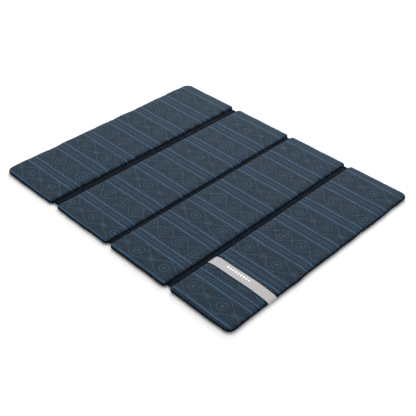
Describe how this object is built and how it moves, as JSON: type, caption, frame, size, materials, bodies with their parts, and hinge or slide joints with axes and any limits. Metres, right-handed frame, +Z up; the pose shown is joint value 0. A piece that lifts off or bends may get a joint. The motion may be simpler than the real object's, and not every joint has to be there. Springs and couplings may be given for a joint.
{
  "type": "folding padded mat",
  "caption": "Thin padded floor mat of four long foam panels in a printed fabric cover, folding in a zigzag at sewn seams, with an elastic strap round the last panel.",
  "frame": {"origin": "centre of the open mat's footprint, on the surface that it lies on", "axes": "+X across the panels, from the plain end panel to the one with the strap; +Y along the panels' long sides; +Z up, out of the printed top face"},
  "size_m": [0.5791, 0.48, 0.0113],
  "materials": {
    "printed_cover": "matte",
    "foam": "matte",
    "strap_webbing": "matte",
    "sewing_thread": "satin"
  },
  "bodies": {
    "panel_1": {"panel_1_top_cover": "printed_cover", "panel_1_bottom_cover": "printed_cover", "panel_1_edge_stitching": "sewing_thread", "foam_core_1": "foam"},
    "fold_1": {"fold_1_top_fabric": "printed_cover", "fold_1_bottom_fabric": "printed_cover", "fold_1_stitching": "sewing_thread"},
    "panel_2": {"panel_2_top_cover": "printed_cover", "panel_2_bottom_cover": "printed_cover", "panel_2_edge_stitching": "sewing_thread", "foam_core_2": "foam"},
    "fold_2": {"fold_2_top_fabric": "printed_cover", "fold_2_bottom_fabric": "printed_cover", "fold_2_stitching": "sewing_thread"},
    "panel_3": {"panel_3_top_cover": "printed_cover", "panel_3_bottom_cover": "printed_cover", "panel_3_edge_stitching": "sewing_thread", "foam_core_3": "foam"},
    "fold_3": {"fold_3_top_fabric": "printed_cover", "fold_3_bottom_fabric": "printed_cover", "fold_3_stitching": "sewing_thread"},
    "panel_4": {"panel_4_top_cover": "printed_cover", "panel_4_bottom_cover": "printed_cover", "panel_4_edge_stitching": "sewing_thread", "foam_core_4": "foam", "elastic_strap": "strap_webbing", "strap_bartack": "sewing_thread"}
  },
  "joints": [
    {"name": "fold_1_far_edge", "type": "hinge", "parent": "panel_1", "child": "fold_1", "pos_m": [-0.14755, 0, 0.0062], "axis": [0, -1, 0], "range_deg": [0, 90]},
    {"name": "fold_1_near_edge", "type": "hinge", "parent": "fold_1", "child": "panel_2", "pos_m": [-0.13255, 0, 0.0062], "axis": [0, -1, 0], "range_deg": [0, 90]},
    {"name": "fold_2_far_edge", "type": "hinge", "parent": "panel_2", "child": "fold_2", "pos_m": [0.00545, 0, 0.0038], "axis": [0, 1, 0], "range_deg": [0, 90]},
    {"name": "fold_2_near_edge", "type": "hinge", "parent": "fold_2", "child": "panel_3", "pos_m": [0.01365, 0, 0.0038], "axis": [0, 1, 0], "range_deg": [0, 90]},
    {"name": "fold_3_far_edge", "type": "hinge", "parent": "panel_3", "child": "fold_3", "pos_m": [0.14765, 0, 0.0062], "axis": [0, -1, 0], "range_deg": [0, 90]},
    {"name": "fold_3_near_edge", "type": "hinge", "parent": "fold_3", "child": "panel_4", "pos_m": [0.15825, 0, 0.0062], "axis": [0, -1, 0], "range_deg": [0, 90]}
  ],
  "couplings": [
    {"joint": "fold_1_near_edge", "follows": "fold_1_far_edge", "ratio": 1},
    {"joint": "fold_2_far_edge", "follows": "fold_1_far_edge", "ratio": 1},
    {"joint": "fold_2_near_edge", "follows": "fold_1_far_edge", "ratio": 1},
    {"joint": "fold_3_near_edge", "follows": "fold_3_far_edge", "ratio": 1}
  ]
}
